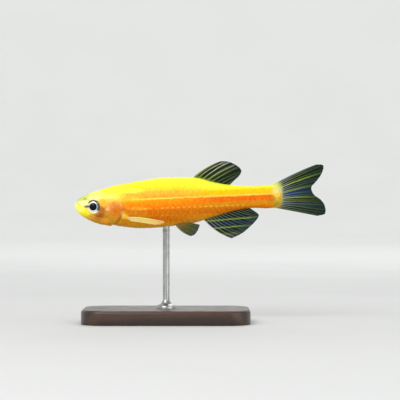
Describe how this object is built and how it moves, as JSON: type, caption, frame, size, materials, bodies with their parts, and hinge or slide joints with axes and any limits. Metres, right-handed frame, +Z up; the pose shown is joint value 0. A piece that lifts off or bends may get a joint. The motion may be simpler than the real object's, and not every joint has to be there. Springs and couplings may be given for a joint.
{
  "type": "life-size model of a zebra danio of the golden orange strain, swimming, on a display stand",
  "caption": "Still, life-size golden orange zebra danio in a level swimming pose, with ribbed fins, held over a flat base by a short rod.",
  "frame": {"origin": "on the floor under the middle of the whole model's box", "axes": "+Z up, -X towards the snout and +X towards the tail, +Y to the fish's right"},
  "size_m": [0.045, 0.016, 0.029],
  "materials": {
    "skin": "wet, finely scaled, orange with a lemon back",
    "fin": "thin membrane with yellow-green rays",
    "eye": "silver iris, black pupil, wet gloss",
    "wood": "dark, satin",
    "steel": "satin"
  },
  "bodies": {
    "root": {"head": "skin", "lower_jaw": "skin", "gill_cover_left": "skin", "gill_cover_right": "skin", "torso": "skin", "tail": "skin", "eye_left": "eye", "eye_right": "eye", "dorsal_fin": "fin", "anal_fin": "fin", "caudal_fin": "fin", "pectoral_fin_left": "fin", "pectoral_fin_right": "fin", "pelvic_fin_left": "fin", "pelvic_fin_right": "fin", "stand_base": "wood", "stand_rod": "steel"}
  },
  "joints": []
}
